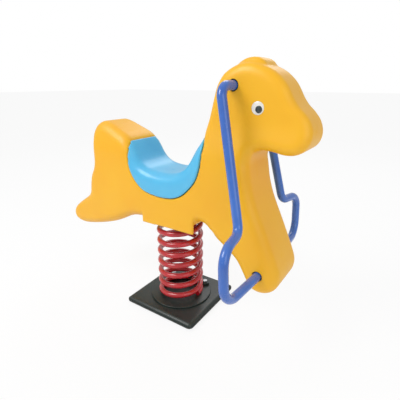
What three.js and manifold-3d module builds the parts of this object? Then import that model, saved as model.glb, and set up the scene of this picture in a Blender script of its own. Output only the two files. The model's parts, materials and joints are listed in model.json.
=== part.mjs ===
// Horse-shaped spring rider: a hollow moulded horse on one heavy coil spring.
// Millimetres. +X is the way the horse looks, +Y is its left side, +Z is up.
// The origin is the centre of the base plate's underside.
import * as THREE from 'three';
import { mergeVertices } from 'three/addons/utils/BufferGeometryUtils.js';
import Module from 'manifold-3d';

const wasm = await Module();
wasm.setup();

// ---- Driving dimensions ----------------------------------------------------

const TOUCH_GAP = 0.3;          // between two pieces that rest on each other
const CUT_MARGIN = 2;           // how far a cutting tool runs past a face
const HOLE_REACH = 40;          // how far a hole's cutter runs to each side

const BASE_SIDE = 300;
const BASE_THICKNESS = 25;
const BASE_CORNER_RADIUS = 16;
const BASE_EDGE_RADIUS = 4;
const DISC_MARGIN = 3;          // disc outside the clamps
const DISC_THICKNESS = 6;
const DISC_EDGE_RADIUS = 2;

const WIRE_RADIUS = 10;
const COIL_RADIUS = 76;         // to the middle of the wire
const SPRING_HEIGHT = 328;      // over the outside of both end coils
const COIL_GAP = 21.7;          // between two turns, surface to surface
const FLAT_TURNS = 0.45;        // flat stretch at each end, where the clamps hold
const COIL_STEPS = 18;          // facets per turn
const COIL_SIDES = 8;
const RAMP_TURNS = 0.12;        // where the flat stretch turns into the full pitch

const CLAMP_WIDTH = 26;         // along the wire
const CLAMP_TAB = 24;           // tab beside the wire that takes the bolt
const CLAMP_ROOT = 3;           // steel between the wire and the tab
const CLAMP_LIP = 2.2;          // steel on the wire's other side
const CLAMP_CHAMFER = 2;
const CLAMP_TAB_THICKNESS = 9;
const CLAMP_COVER = 4;          // steel above the wire
const CLAMP_TURNS = [0.15, 0.275, 0.4];
const CLAMP_CLEARANCE = 1.4;    // round the wire, for its straight facets
const CLAMP_BOLT_RADIUS = 5;
const CLAMP_BOLT_DEPTH = 20;    // thread below the lower clamp's disc

const TOP_PLATE_LENGTH = 200;
const PLATE_SIDE_GAP = 5;       // from the top plate to the cheeks
const PLATE_END_GAP = 4;        // from the top plate to the pocket's rear wall
const TOP_PLATE_THICKNESS = 8;
const TOP_PLATE_CORNER = 12;
const BODY_BOLT_RADIUS = 5;
const BODY_BOLT_INSET = [16, 24]; // from the top plate's end and side
const BODY_BOLT_SPARE = 4;      // thread past the nut
const BACKING_THICKNESS = 5;
const BACKING_MARGIN = [14, 10]; // steel outside the bolt centres
const HEAD_ACROSS = 1.8;        // bolt head, as shares of the shank's radius
const HEAD_HEIGHT = 1.4;
const NUT_HEIGHT = 1.6;

const WALL = 5.5;               // moulded shell
const SPRING_CLEARANCE = 3;     // between the spring and the cheeks beside it
const HEAD_HALF_WIDTH = 66;
const NARROW_FROM = 192.37;     // height above the top plate where the body narrows
const NARROW_TO = 347.41;       // and where it reaches the head's width
const NARROW_STEPS = 6;         // straight stretches between the two
const BODY_EDGE = 18;           // rounding of the body's long edges
const FORELOCK_HALF_WIDTH = 44;
const FORELOCK_EDGE = 8;
const CHEEK_EDGE = 5;

const SEAT_FLAP = 9;            // seat beside the saddle core
const SEAT_PROUD = 3;           // seat outside the body's sides
const SEAT_BOLT_RADIUS = 4;
const SEAT_BOLT_X = 32;
const SEAT_BOLT_Y = 40;
const SEAT_BOLT_GRIP = 7;       // depth of the bore in the seat
const SEAT_BOLT_SPARE = 2;      // bore left over at the bolt's tip
const SEAT_ROOF = 8;            // room over the saddle's ends

const PIPE_RADIUS = 13.4;
const PIPE_WALL = 2.6;
const SLEEVE_WALL = 2.4;
const SOCKET_DEPTH = 42;        // pipe inside the horse, from the side face
const MOUTH_STUB = 4;           // straight pipe outside the head
const FOOT_STUB = 14;           // straight pipe outside the leg
const STUB_BEND = 30;
const BUSH_LENGTH = 9;
const BUSH_RECESS = 3;
const PIN_RADIUS = 2.5;
const PIN_FROM_END = 12;

const EYE_RADIUS = 17.5;
const EYE_SEAT_DEPTH = 1.8;
const EYE_HEIGHT = 4.2;
const PUPIL_RADIUS = 9.5;
const PUPIL_SEAT_DEPTH = 1.4;
const PUPIL_HEIGHT = 2.8;
const DOME_ACROSS = 0.86;       // flat top of a domed disc, as a share of its radius
const DOME_HEIGHT = 0.35;       // sloping rim, as a share of the disc's height
const EYE_PLACE = [313, 371];
const PUPIL_SHIFT = [4, -3];

// ---- Sizes that follow from them ------------------------------------------

const SPRING_OUTER = COIL_RADIUS + WIRE_RADIUS;
const COIL_PITCH = 2 * WIRE_RADIUS + COIL_GAP;
const COIL_TURNS = (SPRING_HEIGHT - 2 * WIRE_RADIUS) / COIL_PITCH + 2 * FLAT_TURNS + RAMP_TURNS;
const CLAMP_REACH = WIRE_RADIUS + CLAMP_ROOT + CLAMP_TAB;
const DISC_RADIUS = COIL_RADIUS + CLAMP_REACH + DISC_MARGIN;
const POCKET_HALF_WIDTH = SPRING_OUTER + SPRING_CLEARANCE;
const BODY_HALF_WIDTH = POCKET_HALF_WIDTH + WALL;
const TOP_PLATE_WIDTH = 2 * (POCKET_HALF_WIDTH - PLATE_SIDE_GAP);
const BODY_BOLT_X = TOP_PLATE_LENGTH / 2 - BODY_BOLT_INSET[0];
const BODY_BOLT_Y = TOP_PLATE_WIDTH / 2 - BODY_BOLT_INSET[1];
const POCKET_REAR = -TOP_PLATE_LENGTH / 2 - PLATE_END_GAP;
const DISC_TOP = BASE_THICKNESS + TOUCH_GAP + DISC_THICKNESS;
const SPRING_BOTTOM = DISC_TOP + TOUCH_GAP;
const SPRING_TOP = SPRING_BOTTOM + SPRING_HEIGHT;
const PLATE_BOTTOM = SPRING_TOP + TOUCH_GAP;
const RIDER_BASE = PLATE_BOTTOM + TOP_PLATE_THICKNESS;
const SLEEVE_INNER = PIPE_RADIUS + TOUCH_GAP;
const SLEEVE_OUTER = SLEEVE_INNER + SLEEVE_WALL;
const TUNNEL_RADIUS = SLEEVE_OUTER + TOUCH_GAP;
const ROOF_TOP = TOUCH_GAP + WALL;
const BACKING_BOTTOM = ROOF_TOP + TOUCH_GAP;

// ---- Outlines, seen from the horse's right side ---------------------------
// Heights count from the top of the steel plate that carries the horse.

const HUMP = [[-330, 287], [-300, 302], [-266, 297], [-232, 284], [-205, 273], [-183, 264]];
const SADDLE_TOP = [
  [-183, 264], [-166, 252], [-151, 232], [-138, 208], [-124, 186], [-106, 168], [-82, 156], [-45, 149], [0, 149],
  [45, 156], [78, 174], [100, 200], [113, 224], [124, 245], [142, 272],
];
const NECK_BACK = [[142, 272], [145, 300], [153, 330], [162, 365], [170, 397], [179, 427], [197, 456]];
const HEAD_TOP = [[197, 456], [222, 472], [255, 484], [290, 484], [330, 471], [358, 453], [380, 430], [398, 399]];
const MUZZLE = [
  [398, 399], [412, 380], [430, 363], [446, 344], [456, 320], [456, 295], [444, 270], [420, 256],
  [390, 254], [355, 260], [322, 260], [303, 248], [296, 222],
];
const NECK_FRONT = [[296, 222], [300, 200], [308, 155], [321, 112], [338, 72], [357, 32], [375, -8], [393, -48], [409, -88]];
const FRONT_HOOF = [[409, -88], [413, -112], [406, -142], [386, -164], [356, -173], [326, -166], [308, -143]];
const CHEST = [[308, -143], [291, -112], [271, -82], [233, -52], [206, -34], [184, -14], [162, 6], [140, 12]];
const BELLY = [[140, 12], [128, 4], [118, -10], [104, -16], [0, -17], [-80, -20], [-126, -27]];
const REAR_HOOF = [
  [-126, -27], [-152, -31], [-184, -43], [-222, -63], [-264, -82], [-316, -100], [-366, -114],
  [-418, -126], [-460, -130], [-492, -121], [-508, -97], [-502, -68], [-478, -46], [-432, -16],
];
const RUMP = [
  [-432, -16], [-404, 4], [-388, 26], [-381, 62], [-371, 96], [-355, 124], [-347, 150], [-345, 190],
  [-345, 225], [-343, 260], [-330, 287],
];
const FORELOCK = [[222, 455], [232, 477], [252, 492], [278, 498], [302, 494], [318, 478], [316, 458], [296, 442], [262, 436], [234, 440]];
const CHEEK = [[-97, 40], [-97, -37], [123, -33], [123, 40]];
const SEAT_EDGE = [
  [142, 272], [150, 262], [150, 234], [149, 207], [142, 179], [129, 148], [104, 117], [75, 92],
  [39, 77], [-2, 73], [-44, 75], [-83, 84], [-115, 107], [-137, 138], [-147, 168], [-152, 206], [-156, 236], [-165, 262],
];
const SEAT_BOLT_TOP = 138;      // the core's flat top, where the seat bolts sit
const CORE_TOP = [
  [-139, 186], [-127, 172], [-112, 156], [-88, 144], [-48, SEAT_BOLT_TOP], [0, SEAT_BOLT_TOP], [48, SEAT_BOLT_TOP], [84, 160], [108, 186], [126, 203],
];
const CORE_FOOT = [[126, 203], [118, 61], [-118, 59]];
const CORE_RISE = 2;            // upright share of a gap on the core's steep ends
const POCKET_FRONT = 200;       // the pocket for the spring's top runs out through the chest
const POCKET_DROP = 90;

// ---- Handle pipe, right side: x, distance from the middle, height ----------

const HEAD_SOCKET = [238, 427];
const LEG_SOCKET = [353, -105];
const HANDLE_CORNERS = [
  { at: [234, 124, 426], bend: 34 },
  { at: [321, 160, 52], bend: 32 },
  { at: [336, 270, 46], bend: 48 },
  { at: [343, 271, -105], bend: 56 },
];
const BEND_STEP = Math.PI / 9;  // turn between two samples of a bend
const BOLT_SIDES = 10;

// ---- Solid modelling helpers ----------------------------------------------

/** Turn a closed geometry into a solid that can be joined and cut. */
function solidOf(geometry) {
  const bare = geometry.clone();
  bare.deleteAttribute('normal');
  bare.deleteAttribute('uv');
  const merged = mergeVertices(bare, 1e-3);
  const mesh = new wasm.Mesh({
    numProp: 3,
    vertProperties: new Float32Array(merged.attributes.position.array),
    triVerts: new Uint32Array(merged.index.array),
  });
  mesh.merge();
  return new wasm.Manifold(mesh);
}

/** Turn a solid back into a geometry. */
function geometryOf(solid) {
  const mesh = solid.getMesh();
  const geometry = new THREE.BufferGeometry();
  geometry.setAttribute('position', new THREE.BufferAttribute(mesh.vertProperties, 3));
  geometry.setIndex(new THREE.BufferAttribute(mesh.triVerts, 1));
  geometry.computeVertexNormals();
  return geometry;
}

/** Move every point of an outline outwards by a distance; a negative one moves it in. */
function offsetOutline(points, distance) {
  const turn = Math.sign(THREE.ShapeUtils.area(points));
  return points.map((point, i) => {
    const before = points[(i + points.length - 1) % points.length];
    const after = points[(i + 1) % points.length];
    const inward = point.clone().sub(before).normalize();
    const outward = after.clone().sub(point).normalize();
    const normal = new THREE.Vector2(inward.y + outward.y, -inward.x - outward.x).normalize();
    const half = Math.max(0.5, normal.dot(new THREE.Vector2(inward.y, -inward.x)));
    return point.clone().addScaledVector(normal, (turn * distance) / half);
  });
}

/** Points along one smooth curve through the given points, without the last one. */
function smoothRun(pairs, perSpan = 2) {
  const curve = new THREE.SplineCurve(pairs.map(([x, z]) => new THREE.Vector2(x, z)));
  return curve.getPoints(perSpan * (pairs.length - 1)).slice(0, -1);
}

/** Smooth closed outline through the given points. */
function closedRun(pairs) {
  const knots = pairs.map(([x, z]) => new THREE.Vector3(x, z, 0));
  const curve = new THREE.CatmullRomCurve3(knots, true);
  return curve.getPoints(2 * pairs.length).slice(0, -1).map((p) => new THREE.Vector2(p.x, p.y));
}

/** Straight-sided closed outline. */
function straightRun(pairs) {
  return pairs.map(([x, z]) => new THREE.Vector2(x, z));
}

/** Slab over an upright outline, centred on the middle plane, with round long edges. */
function slab(outline, halfWidth, edge = 0) {
  const geometry = new THREE.ExtrudeGeometry(new THREE.Shape(outline), {
    depth: 2 * (halfWidth - edge),
    bevelEnabled: edge > 0,
    bevelThickness: edge,
    bevelSize: edge,
    bevelOffset: -edge,
    bevelSegments: 2,
    curveSegments: 1,
  });
  geometry.translate(0, 0, edge - halfWidth);
  geometry.rotateX(Math.PI / 2);
  return geometry;
}

/** Upright disc or rod: axis along Z, standing on z = 0. */
function rod(radius, height, sides = 24) {
  const geometry = new THREE.CylinderGeometry(radius, radius, height, sides);
  geometry.rotateX(Math.PI / 2);
  geometry.translate(0, 0, height / 2);
  return geometry;
}

/** Rod across the horse, from one side to the other. */
function crossRod(radius, halfLength, [x, z], sides = 20) {
  const geometry = new THREE.CylinderGeometry(radius, radius, 2 * halfLength, sides);
  geometry.translate(x, 0, z);
  return geometry;
}

/** Flat plate with round corners, standing on z = 0. */
function plate(length, width, thickness, corner, edge = 0) {
  const x = length / 2;
  const y = width / 2;
  const shape = new THREE.Shape();
  shape.moveTo(-x + corner, -y);
  shape.absarc(x - corner, -y + corner, corner, -Math.PI / 2, 0);
  shape.absarc(x - corner, y - corner, corner, 0, Math.PI / 2);
  shape.absarc(-x + corner, y - corner, corner, Math.PI / 2, Math.PI);
  shape.absarc(-x + corner, -y + corner, corner, Math.PI, 1.5 * Math.PI);
  const geometry = new THREE.ExtrudeGeometry(shape, {
    depth: thickness - edge,
    bevelEnabled: edge > 0,
    bevelThickness: edge,
    bevelSize: edge,
    bevelOffset: -edge,
    bevelSegments: 1,
    curveSegments: 4,
  });
  if (edge > 0) flattenUnderside(geometry);
  return geometry;
}

/** Keep the round edge on top only: everything below the middle becomes one flat underside. */
function flattenUnderside(geometry) {
  geometry.computeBoundingBox();
  const { min, max } = geometry.boundingBox;
  const cut = new THREE.BoxGeometry(4 * max.x, 4 * max.y, -2 * min.z);
  cut.translate(0, 0, min.z);
  const flat = solidOf(geometry).subtract(solidOf(cut));
  geometry.copy(geometryOf(flat));
}

/** Upright clearance hole for a bolt, through everything near the given place. */
function boltHole(radius, [x, y, z]) {
  const cutter = solidOf(rod(radius + TOUCH_GAP, 2 * HOLE_REACH, BOLT_SIDES));
  return cutter.translate(x, y, z - HOLE_REACH);
}

/** Hexagon bolt: head on z = 0 and above, shank below. */
function hexBolt(radius, shank) {
  const head = solidOf(rod(radius * HEAD_ACROSS, radius * HEAD_HEIGHT, 6));
  const thread = solidOf(rod(radius, shank + CUT_MARGIN, BOLT_SIDES)).translate(0, 0, -shank);
  return geometryOf(head.add(thread));
}

/** Hexagon nut with its bore, standing on z = 0. */
function hexNut(radius) {
  const height = radius * NUT_HEIGHT;
  const nut = solidOf(rod(radius * HEAD_ACROSS, height, 6));
  const bore = solidOf(rod(radius + TOUCH_GAP, height + 2 * CUT_MARGIN, BOLT_SIDES));
  return geometryOf(nut.subtract(bore.translate(0, 0, -CUT_MARGIN)));
}

/** A path of straight runs and round bends, sampled only where it turns. */
class BentPath extends THREE.Curve {
  constructor(start, corners, end, overrun = 0) {
    super();
    this.knots = [];
    this.heading = [];
    const points = [start, ...corners.map((corner) => corner.at), end].map((p) => new THREE.Vector3(...p));
    const runs = points.slice(1).map((p, i) => p.clone().sub(points[i]).normalize());
    this.addKnot(points[0].clone().addScaledVector(runs[0], -overrun), runs[0]);
    corners.forEach((corner, i) => this.addBend(points[i + 1], runs[i], runs[i + 1], corner.bend));
    const last = runs[runs.length - 1];
    this.addKnot(points[points.length - 1].clone().addScaledVector(last, overrun), last);
  }

  addKnot(point, heading) {
    this.knots.push(point);
    this.heading.push(heading.clone());
  }

  addBend(corner, from, to, radius) {
    const angle = from.angleTo(to);
    const reach = radius * Math.tan(angle / 2);
    const side = to.clone().addScaledVector(from, -Math.cos(angle)).normalize();
    const centre = corner.clone().addScaledVector(from, -reach).addScaledVector(side, radius);
    const steps = Math.ceil(angle / BEND_STEP);
    for (let step = 0; step <= steps; step += 1) {
      const a = (angle * step) / steps;
      const point = centre.clone().addScaledVector(side, -radius * Math.cos(a));
      point.addScaledVector(from, radius * Math.sin(a));
      const heading = from.clone().multiplyScalar(Math.cos(a)).addScaledVector(side, Math.sin(a));
      this.addKnot(point, heading);
    }
  }

  getPoint(t) {
    return this.knots[Math.round(t * (this.knots.length - 1))].clone();
  }

  getPointAt(u) {
    return this.getPoint(u);
  }

  getTangentAt(u) {
    return this.heading[Math.round(u * (this.heading.length - 1))].clone();
  }
}

/** The spring's middle line: flat ends and an even pitch between them. */
class SpringPath extends THREE.Curve {
  getPoint(t) {
    const turns = t * COIL_TURNS;
    const angle = turns * 2 * Math.PI;
    const rise = SPRING_HEIGHT - 2 * WIRE_RADIUS;
    const share = climb(turns) / climb(COIL_TURNS);
    return new THREE.Vector3(
      COIL_RADIUS * Math.cos(angle),
      COIL_RADIUS * Math.sin(angle),
      SPRING_BOTTOM + WIRE_RADIUS + rise * share,
    );
  }
}

/** How far the wire has climbed after some turns, counted in full-pitch turns. */
function climb(turns) {
  const start = ramp(turns - FLAT_TURNS);
  const end = ramp(turns - (COIL_TURNS - FLAT_TURNS - RAMP_TURNS));
  return start - end;
}

/** Zero before 0, then a slope that grows to one over the ramp. */
function ramp(turns) {
  if (turns <= 0) return 0;
  if (turns < RAMP_TURNS) return turns ** 2 / (2 * RAMP_TURNS);
  return turns - RAMP_TURNS / 2;
}

/** Round bar along a path. */
function bar(path, radius, steps, sides) {
  const section = new THREE.Shape().absarc(0, 0, radius, 0, 2 * Math.PI);
  return new THREE.ExtrudeGeometry(section, {
    steps,
    extrudePath: path,
    bevelEnabled: false,
    curveSegments: sides / 2,
  });
}

// ---- Body ------------------------------------------------------------------

/** Half width of the horse at one of the levels where its slope changes. */
function levelHalfWidth(level) {
  const narrow = THREE.MathUtils.smoothstep(level, 0, NARROW_STEPS);
  return THREE.MathUtils.lerp(BODY_HALF_WIDTH, HEAD_HALF_WIDTH, narrow);
}

/** Half width of the horse at a height above the plate: straight between two levels. */
function halfWidthAt(height) {
  const share = THREE.MathUtils.inverseLerp(NARROW_FROM, NARROW_TO, height);
  const step = THREE.MathUtils.clamp(share, 0, 1) * NARROW_STEPS;
  const level = Math.floor(step);
  return THREE.MathUtils.lerp(levelHalfWidth(level), levelHalfWidth(level + 1), step - level);
}

/** Heights of those levels. */
function narrowLevels() {
  const rise = (NARROW_TO - NARROW_FROM) / NARROW_STEPS;
  return Array.from({ length: NARROW_STEPS + 1 }, (_, level) => NARROW_FROM + level * rise);
}

/** Point where an edge crosses a height, worked out from its lower end. */
function crossing(a, b, height) {
  const [low, high] = a.z < b.z ? [a, b] : [b, a];
  return low.clone().lerp(high, (height - low.z) / (high.z - low.z));
}

/** Split a triangle at a height: itself, or the three pieces above and below. */
function splitTriangle(corners, height) {
  const above = corners.map((corner) => corner.z > height);
  const count = above.filter(Boolean).length;
  if (count === 0 || count === 3) return [corners];
  const lone = above.indexOf(count === 1);
  const [tip, next, last] = [0, 1, 2].map((i) => corners[(lone + i) % 3]);
  const toNext = crossing(tip, next, height);
  const toLast = crossing(tip, last, height);
  return [[tip, toNext, toLast], [toNext, next, last], [toNext, last, toLast]];
}

/** Split every triangle of a geometry that crosses one of the given heights. */
function sliceAt(geometry, heights) {
  const flat = geometry.index ? geometry.toNonIndexed() : geometry;
  const place = flat.attributes.position;
  let triangles = [];
  for (let i = 0; i < place.count; i += 3) {
    triangles.push([0, 1, 2].map((k) => new THREE.Vector3().fromBufferAttribute(place, i + k)));
  }
  for (const height of heights) {
    triangles = triangles.flatMap((corners) => splitTriangle(corners, height));
  }
  return new THREE.BufferGeometry().setFromPoints(triangles.flat());
}

/** The whole side outline of the horse. */
function horseOutline(perSpan) {
  const runs = [HUMP, SADDLE_TOP, NECK_BACK, HEAD_TOP, MUZZLE, NECK_FRONT, FRONT_HOOF, CHEST, BELLY, REAR_HOOF, RUMP];
  return runs.flatMap((run) => smoothRun(run, perSpan));
}

/** The horse's mass as a solid: grown or shrunk, and narrower towards the head. */
function horseSolid(grow) {
  const edge = Math.max(BODY_EDGE + Math.min(grow, 0), 1);
  const outline = offsetOutline(horseOutline(grow < 0 ? 1 : 2), Math.min(grow, 0));
  const sliced = sliceAt(slab(outline, BODY_HALF_WIDTH + grow, edge), narrowLevels());
  const place = sliced.attributes.position;
  for (let i = 0; i < place.count; i += 1) {
    const scale = (halfWidthAt(place.getZ(i)) + grow) / (BODY_HALF_WIDTH + grow);
    place.setY(i, place.getY(i) * scale);
  }
  return solidOf(sliced);
}

/** Everything inside the seat's lower edge, up past the saddle. */
function seatZone(grow) {
  const lower = smoothRun(SEAT_EDGE);
  const first = lower[0];
  const last = lower[lower.length - 1];
  const roof = [
    new THREE.Vector2(last.x - CUT_MARGIN, last.y + SEAT_ROOF),
    new THREE.Vector2(first.x, first.y + SEAT_ROOF),
  ];
  return solidOf(slab(offsetOutline([...lower, ...roof], grow), BODY_HALF_WIDTH + HOLE_REACH));
}

/** The saddle core that the seat wraps: set in from the seat's top and sides. */
function saddleCore(shrink) {
  const top = smoothRun(CORE_TOP, 1);
  const foot = straightRun(CORE_FOOT);
  for (const point of [top[0], ...foot]) {
    point.x -= Math.sign(point.x) * shrink;
  }
  for (const point of [...top, foot[0]]) {
    point.y -= CORE_RISE * shrink;
  }
  return solidOf(slab([...top, ...foot], BODY_HALF_WIDTH - SEAT_FLAP - shrink));
}

/** Pocket in the belly for the spring's top, open below and at the chest. */
function springPocket(grow) {
  const length = POCKET_FRONT - POCKET_REAR + 2 * grow;
  const box = new THREE.BoxGeometry(length, 2 * POCKET_HALF_WIDTH, POCKET_DROP + grow);
  box.translate(POCKET_REAR - grow + length / 2, 0, grow + TOUCH_GAP - (POCKET_DROP + grow) / 2);
  return solidOf(box);
}

/** Four places for the bolts that hold the horse on its plate. */
function bodyBoltPlaces() {
  return [[1, 1], [1, -1], [-1, 1], [-1, -1]].map(([x, y]) => [x * BODY_BOLT_X, y * BODY_BOLT_Y]);
}

/** Four places for the bolts that hold the seat. */
function seatBoltPlaces() {
  return [[1, 1], [1, -1], [-1, 1], [-1, -1]].map(([x, y]) => [x * SEAT_BOLT_X, y * SEAT_BOLT_Y]);
}

/** The hollow inside the horse, with the tunnels for the handle sleeves left standing. */
function hollow() {
  let space = horseSolid(-WALL).subtract(seatZone(WALL)).add(saddleCore(WALL));
  for (const socket of [HEAD_SOCKET, LEG_SOCKET]) {
    space = space.subtract(solidOf(crossRod(TUNNEL_RADIUS + WALL, BODY_HALF_WIDTH + HOLE_REACH, socket)));
  }
  return space.subtract(springPocket(WALL));
}

/** Counterbore for one eye; side is 1 on the left and -1 on the right. */
function eyeSeat(side) {
  const [x, z] = EYE_PLACE;
  const radius = EYE_RADIUS + TOUCH_GAP;
  const cutter = new THREE.CylinderGeometry(radius, radius, HOLE_REACH, 24);
  cutter.translate(x, side * (halfWidthAt(z) - EYE_SEAT_DEPTH + HOLE_REACH / 2), z);
  return solidOf(cutter);
}

/** The moulded horse. */
function bodyShell() {
  const cheeks = solidOf(slab(straightRun(CHEEK), BODY_HALF_WIDTH, CHEEK_EDGE));
  const forelock = solidOf(slab(closedRun(FORELOCK), FORELOCK_HALF_WIDTH, FORELOCK_EDGE));
  let shell = horseSolid(0).add(cheeks).subtract(seatZone(TOUCH_GAP)).add(saddleCore(0));
  shell = shell.subtract(hollow()).add(forelock.subtract(horseSolid(-WALL)));
  shell = shell.subtract(springPocket(0));
  for (const socket of [HEAD_SOCKET, LEG_SOCKET]) {
    shell = shell.subtract(solidOf(crossRod(TUNNEL_RADIUS, BODY_HALF_WIDTH + HOLE_REACH, socket)));
  }
  for (const [x, y] of bodyBoltPlaces()) {
    shell = shell.subtract(boltHole(BODY_BOLT_RADIUS, [x, y, 0]));
  }
  for (const [x, y] of seatBoltPlaces()) {
    shell = shell.subtract(boltHole(SEAT_BOLT_RADIUS, [x, y, SEAT_BOLT_TOP]));
  }
  return geometryOf(shell.subtract(eyeSeat(1)).subtract(eyeSeat(-1)));
}

/** The moulded saddle that wraps the core and fills the crescent. */
function seat() {
  let saddle = horseSolid(SEAT_PROUD).intersect(seatZone(0)).subtract(saddleCore(-TOUCH_GAP));
  for (const [x, y] of seatBoltPlaces()) {
    const depth = HOLE_REACH - SEAT_BOLT_GRIP;
    saddle = saddle.subtract(boltHole(SEAT_BOLT_RADIUS, [x, y, SEAT_BOLT_TOP - depth]));
  }
  return geometryOf(saddle);
}

// ---- Base and spring -------------------------------------------------------

/** Angle of one clamp, counted from the wire's lower or upper end. */
function clampAngle(turns, upper) {
  return 2 * Math.PI * (upper ? COIL_TURNS - turns : turns);
}

/** Distance of a clamp's bolt from the spring's middle line. */
function clampBoltDistance(upper) {
  const reach = CLAMP_REACH - CLAMP_TAB / 2;
  return upper ? COIL_RADIUS - reach : COIL_RADIUS + reach;
}

/** Bolt holes of a ring of clamps, as one cutter standing on a height. */
function clampHoles(bottom, upper) {
  const reach = clampBoltDistance(upper);
  const holes = CLAMP_TURNS.map((turns) => {
    const angle = clampAngle(turns, upper);
    const place = [reach * Math.cos(angle), reach * Math.sin(angle), bottom + HOLE_REACH];
    return boltHole(CLAMP_BOLT_RADIUS, place);
  });
  return holes.reduce((all, hole) => all.add(hole));
}

/** Square base plate with blind holes for the clamp bolts. */
function basePlate() {
  const slabOfSteel = solidOf(plate(BASE_SIDE, BASE_SIDE, BASE_THICKNESS, BASE_CORNER_RADIUS, BASE_EDGE_RADIUS));
  const bottom = DISC_TOP - CLAMP_BOLT_DEPTH - CUT_MARGIN;
  return geometryOf(slabOfSteel.subtract(clampHoles(bottom, false)));
}

/** Raised round disc under the spring. */
function footDisc() {
  const bottom = BASE_THICKNESS + TOUCH_GAP;
  const profile = [
    [0, 0], [DISC_RADIUS, 0], [DISC_RADIUS, DISC_THICKNESS - DISC_EDGE_RADIUS],
    [DISC_RADIUS - DISC_EDGE_RADIUS, DISC_THICKNESS], [0, DISC_THICKNESS],
  ];
  const disc = new THREE.LatheGeometry(profile.map(([r, h]) => new THREE.Vector2(r, h)), 36);
  disc.rotateX(Math.PI / 2);
  disc.translate(0, 0, bottom);
  return geometryOf(solidOf(disc).subtract(clampHoles(0, false)));
}

/** Hook-shaped clamp over the wire, drawn for the lower end with its tab outwards. */
function clampBlank() {
  const top = 2 * WIRE_RADIUS + CLAMP_COVER;
  const root = WIRE_RADIUS + CLAMP_ROOT;
  const inside = WIRE_RADIUS - CLAMP_CHAMFER;
  const lip = -WIRE_RADIUS - CLAMP_LIP;
  const profile = [
    [inside, 0], [CLAMP_REACH, 0], [CLAMP_REACH, CLAMP_TAB_THICKNESS], [root + 1, CLAMP_TAB_THICKNESS],
    [root, top - CLAMP_CHAMFER], [root - CLAMP_CHAMFER, top], [-WIRE_RADIUS, top],
    [lip, top - 2 * CLAMP_CHAMFER], [lip, root], [inside, root],
  ];
  const section = slab(straightRun(profile), CLAMP_WIDTH / 2);
  const groove = new THREE.TorusGeometry(COIL_RADIUS, WIRE_RADIUS + CLAMP_CLEARANCE, 12, 60);
  return { section, groove };
}

/** One clamp of the lower ring or, turned over and facing inwards, of the upper ring. */
function clamp(turns, upper) {
  const { section, groove } = clampBlank();
  if (upper) {
    section.rotateX(Math.PI);
    section.rotateZ(Math.PI);
  }
  section.translate(COIL_RADIUS, 0, 0);
  groove.translate(0, 0, upper ? -WIRE_RADIUS : WIRE_RADIUS);
  const bore = boltHole(CLAMP_BOLT_RADIUS, [clampBoltDistance(upper), 0, 0]);
  const geometry = geometryOf(solidOf(section).subtract(solidOf(groove)).subtract(bore));
  geometry.rotateZ(clampAngle(turns, upper));
  geometry.translate(0, 0, upper ? SPRING_TOP : SPRING_BOTTOM);
  return geometry;
}

/** Bolt of one clamp, with its head on the clamp's tab. */
function clampBolt(turns, upper) {
  const tab = CLAMP_TAB_THICKNESS + TOUCH_GAP;
  const grip = upper ? tab + TOP_PLATE_THICKNESS : tab + CLAMP_BOLT_DEPTH;
  const geometry = hexBolt(CLAMP_BOLT_RADIUS, grip);
  if (upper) geometry.rotateX(Math.PI);
  const angle = clampAngle(turns, upper);
  const reach = clampBoltDistance(upper);
  const height = upper ? SPRING_TOP - tab : SPRING_BOTTOM + tab;
  geometry.translate(reach * Math.cos(angle), reach * Math.sin(angle), height);
  return geometry;
}

/** Steel plate between the spring's top and the horse. */
function topPlate() {
  const blank = plate(TOP_PLATE_LENGTH, TOP_PLATE_WIDTH, TOP_PLATE_THICKNESS, TOP_PLATE_CORNER);
  let steel = solidOf(blank).translate(0, 0, PLATE_BOTTOM);
  steel = steel.subtract(clampHoles(PLATE_BOTTOM - HOLE_REACH, true));
  for (const [x, y] of bodyBoltPlaces()) {
    steel = steel.subtract(boltHole(BODY_BOLT_RADIUS, [x, y, PLATE_BOTTOM]));
  }
  return geometryOf(steel);
}

/** Steel plate inside the horse that spreads the bolts' pull. */
function backingPlate() {
  const length = 2 * (BODY_BOLT_X + BACKING_MARGIN[0]);
  const width = 2 * (BODY_BOLT_Y + BACKING_MARGIN[1]);
  let steel = solidOf(plate(length, width, BACKING_THICKNESS, TOP_PLATE_CORNER));
  for (const [x, y] of bodyBoltPlaces()) {
    steel = steel.subtract(boltHole(BODY_BOLT_RADIUS, [x, y, 0]));
  }
  return geometryOf(steel.translate(0, 0, BACKING_BOTTOM));
}

/** Bolt from under the top plate up into the horse. */
function bodyBolt([x, y]) {
  const nutTop = BACKING_BOTTOM + BACKING_THICKNESS + TOUCH_GAP + BODY_BOLT_RADIUS * NUT_HEIGHT;
  const geometry = hexBolt(BODY_BOLT_RADIUS, TOP_PLATE_THICKNESS + nutTop + BODY_BOLT_SPARE);
  geometry.rotateX(Math.PI);
  geometry.translate(x, y, -TOP_PLATE_THICKNESS - TOUCH_GAP);
  return geometry;
}

/** Nut on the backing plate. */
function bodyNut([x, y]) {
  const geometry = hexNut(BODY_BOLT_RADIUS);
  geometry.translate(x, y, BACKING_BOTTOM + BACKING_THICKNESS + TOUCH_GAP);
  return geometry;
}

/** Bolt from inside the horse up into the seat. */
function seatBolt([x, y]) {
  const wall = CORE_RISE * WALL + TOUCH_GAP;
  const geometry = hexBolt(SEAT_BOLT_RADIUS, wall + SEAT_BOLT_GRIP - SEAT_BOLT_SPARE);
  geometry.rotateX(Math.PI);
  geometry.translate(x, y, SEAT_BOLT_TOP - wall);
  return geometry;
}

// ---- Handles ---------------------------------------------------------------

/** Depth below the side face at which a pipe ends, as a distance from the middle. */
function socketEnd([, z]) {
  return halfWidthAt(z) - SOCKET_DEPTH;
}

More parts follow.
